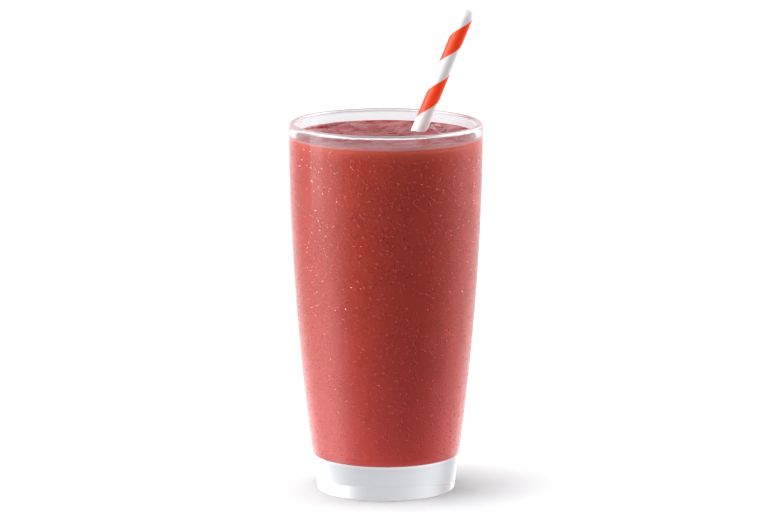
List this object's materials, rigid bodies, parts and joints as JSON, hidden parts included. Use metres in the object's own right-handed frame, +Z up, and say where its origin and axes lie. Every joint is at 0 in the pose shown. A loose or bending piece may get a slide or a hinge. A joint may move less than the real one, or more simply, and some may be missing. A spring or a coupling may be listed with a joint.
{
  "type": "berry smoothie",
  "caption": "Thick berry smoothie filling a tall clear glass tumbler with a heavy base, with a striped paper straw leaning in it.",
  "frame": {"origin": "middle of the glass's flat underside, on the glass's axis", "axes": "+Z up along the glass's axis, +X the way the straw leans, -Y the side that faces the viewer"},
  "size_m": [0.0788, 0.0788, 0.1963],
  "materials": {
    "glass": "clear polished glass, beaded with fine condensation outside the drink",
    "smoothie": "thick opaque berry drink, wet and lumpy on top",
    "straw": "wound white paper with an orange spiral stripe"
  },
  "bodies": {
    "root": {"glass": "glass", "smoothie": "smoothie", "straw": "straw"}
  },
  "joints": []
}
